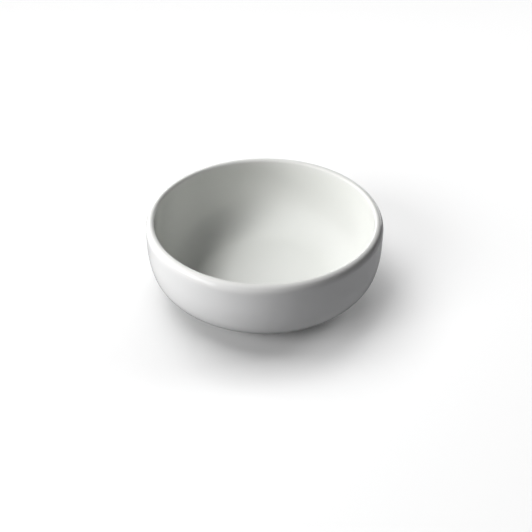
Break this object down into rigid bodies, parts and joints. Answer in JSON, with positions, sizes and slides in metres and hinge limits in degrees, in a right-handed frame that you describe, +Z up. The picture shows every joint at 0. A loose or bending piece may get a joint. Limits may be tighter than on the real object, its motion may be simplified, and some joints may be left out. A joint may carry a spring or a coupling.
{
  "type": "porcelain crucible",
  "caption": "Low, wide round crucible of glazed white porcelain with a rolled lip, rounded heel and unglazed foot ring.",
  "frame": {"origin": "middle of the plane that the foot ring stands on, on the axis of symmetry", "axes": "+Z up the axis of symmetry, out of the open mouth; the piece is round, so X and Y are free"},
  "size_m": [0.08, 0.08, 0.0294],
  "materials": {
    "biscuit": "fired white porcelain body, unglazed, fine matte grain",
    "glaze": "clear gloss glaze over white porcelain"
  },
  "bodies": {
    "root": {"biscuit_body": "biscuit", "bowl_glaze": "glaze", "base_glaze": "glaze"}
  },
  "joints": []
}
